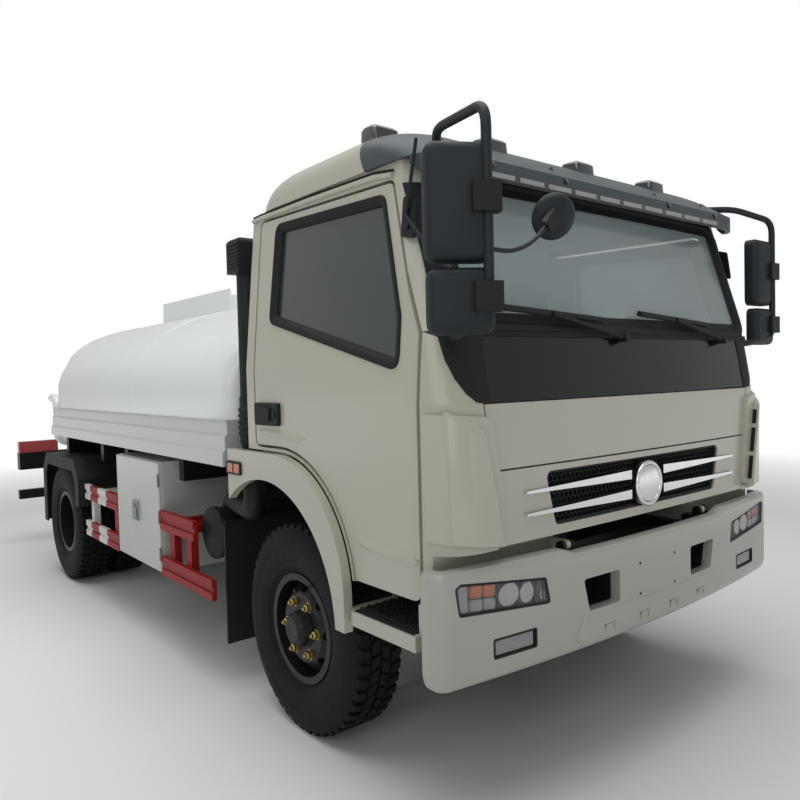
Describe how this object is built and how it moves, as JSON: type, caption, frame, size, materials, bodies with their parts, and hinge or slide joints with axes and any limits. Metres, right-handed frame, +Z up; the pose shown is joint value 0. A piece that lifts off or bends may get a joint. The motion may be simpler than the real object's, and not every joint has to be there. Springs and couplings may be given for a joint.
{
  "type": "tanker truck",
  "caption": "Small tank truck: tilting cab over the engine, elliptical tank on a ladder frame, steered front wheels, twin rear tyres, opening doors, manhole lid and tool cabinet.",
  "frame": {"origin": "on the ground, in the middle of the truck's bounding box seen from above", "axes": "+Z up; the truck's nose points to -Y; +X is the truck's left-hand side"},
  "size_m": [2.4794, 5.945, 2.4299],
  "materials": {
    "cab_paint": "gloss",
    "bumper_paint": "gloss",
    "tank_paint": "gloss",
    "cabinet_paint": "satin",
    "chassis_black": "satin",
    "guard_red": "gloss",
    "black_plastic": "matte",
    "visor_plastic": "satin",
    "gloss_black": "gloss",
    "chrome": "polished",
    "glass": "clear",
    "lamp_clear": "clear",
    "lamp_amber": "gloss",
    "lamp_red": "gloss",
    "tyre": "matte",
    "wheel_black": "satin",
    "steel": "satin",
    "iron": "rough",
    "seat_cloth": "matte"
  },
  "bodies": {
    "chassis": {"frame_rails": "chassis_black", "crossmembers": "chassis_black", "cab_pivots": "chassis_black", "front_axle": "iron", "rear_axle": "iron", "leaf_springs": "steel", "engine": "iron", "propshaft": "steel", "fuel_tank": "steel", "air_cleaner": "black_plastic", "splash_guards": "black_plastic", "bumper": "bumper_paint", "front_lamps": "lamp_clear", "tank": "tank_paint", "manhole_guard": "tank_paint", "subframe": "chassis_black", "tank_bed": "tank_paint", "tool_cabinet": "cabinet_paint", "side_guards": "guard_red", "rear_mudguards": "black_plastic", "tail_frame": "chassis_black", "tail_lamps": "lamp_red", "discharge_pipe": "tank_paint"},
    "cab": {"cab_shell": "cab_paint", "roof": "cab_paint", "roof_visor": "visor_plastic", "front_panels": "cab_paint", "grille": "black_plastic", "grille_bars": "chrome", "cowl_panel": "gloss_black", "corner_panels": "cab_paint", "cab_glass": "glass", "marker_lamps": "lamp_amber", "fenders": "cab_paint", "mirrors": "black_plastic", "wipers": "black_plastic", "seats": "seat_cloth", "dashboard": "black_plastic"},
    "door_right": {"door_right": "cab_paint", "door_glass_right": "glass"},
    "door_left": {"door_left": "cab_paint", "door_glass_left": "glass"},
    "steering_wheel": {"steering_wheel": "black_plastic"},
    "manhole_lid": {"manhole_lid": "tank_paint"},
    "cabinet_door": {"cabinet_door": "cabinet_paint"},
    "knuckle_right": {"knuckle_right": "iron"},
    "knuckle_left": {"knuckle_left": "iron"},
    "tie_rod": {"tie_rod": "steel"},
    "wheel_front_right": {"tyre_front_right": "tyre", "wheel_front_right": "wheel_black"},
    "wheel_front_left": {"tyre_front_left": "tyre", "wheel_front_left": "wheel_black"},
    "wheels_rear_right": {"tyres_rear_right": "tyre", "wheels_rear_right": "wheel_black"},
    "wheels_rear_left": {"tyres_rear_left": "tyre", "wheels_rear_left": "wheel_black"}
  },
  "joints": [
    {"name": "cab_tilt", "type": "hinge", "parent": "chassis", "child": "cab", "pos_m": [0, -2.7025, 0.848], "axis": [1, 0, 0], "range_deg": [0, 40]},
    {"name": "door_right_hinge", "type": "hinge", "parent": "cab", "child": "door_right", "pos_m": [-1.03, -2.5855, 1.4], "axis": [0, 0, 1], "range_deg": [0, 70]},
    {"name": "door_left_hinge", "type": "hinge", "parent": "cab", "child": "door_left", "pos_m": [1.03, -2.5855, 1.4], "axis": [0, 0, -1], "range_deg": [0, 70]},
    {"name": "manhole_lid_hinge", "type": "hinge", "parent": "chassis", "child": "manhole_lid", "pos_m": [0, 1.0095, 2.008], "axis": [-1, 0, 0], "range_deg": [0, 100]},
    {"name": "cabinet_door_hinge", "type": "hinge", "parent": "chassis", "child": "cabinet_door", "pos_m": [-1.066, -0.4625, 0.716], "axis": [0, 0, 1], "range_deg": [0, 100]},
    {"name": "steer", "type": "hinge", "parent": "chassis", "child": "knuckle_right", "pos_m": [-0.79, -1.7475, 0.428], "axis": [0, 0, 1], "range_deg": [-33, 33]},
    {"name": "steer_left", "type": "hinge", "parent": "chassis", "child": "knuckle_left", "pos_m": [0.79, -1.7475, 0.428], "axis": [0, 0, 1], "range_deg": [-33, 33]},
    {"name": "tie_rod_pin", "type": "hinge", "parent": "knuckle_right", "child": "tie_rod", "pos_m": [-0.79, -1.6275, 0.3605], "axis": [0, 0, 1], "range_deg": [-33, 33]},
    {"name": "steering_column", "type": "hinge", "parent": "cab", "child": "steering_wheel", "pos_m": [0.52, -2.2175, 1.56], "axis": [0, 0.6018, 0.7986], "range_deg": [-528, 528]},
    {"name": "spin_front_right", "type": "hinge", "parent": "knuckle_right", "child": "wheel_front_right", "pos_m": [-0.872, -1.7475, 0.428], "axis": [1, 0, 0], "continuous": true},
    {"name": "spin_front_left", "type": "hinge", "parent": "knuckle_left", "child": "wheel_front_left", "pos_m": [0.872, -1.7475, 0.428], "axis": [1, 0, 0], "continuous": true},
    {"name": "spin_rear_right", "type": "hinge", "parent": "chassis", "child": "wheels_rear_right", "pos_m": [-0.824, 1.4425, 0.428], "axis": [1, 0, 0], "continuous": true},
    {"name": "spin_rear_left", "type": "hinge", "parent": "chassis", "child": "wheels_rear_left", "pos_m": [0.824, 1.4425, 0.428], "axis": [1, 0, 0], "continuous": true}
  ],
  "couplings": [
    {"joint": "steer_left", "follows": "steer", "ratio": 1},
    {"joint": "tie_rod_pin", "follows": "steer", "ratio": -1},
    {"joint": "steering_column", "follows": "steer", "ratio": 16}
  ]
}
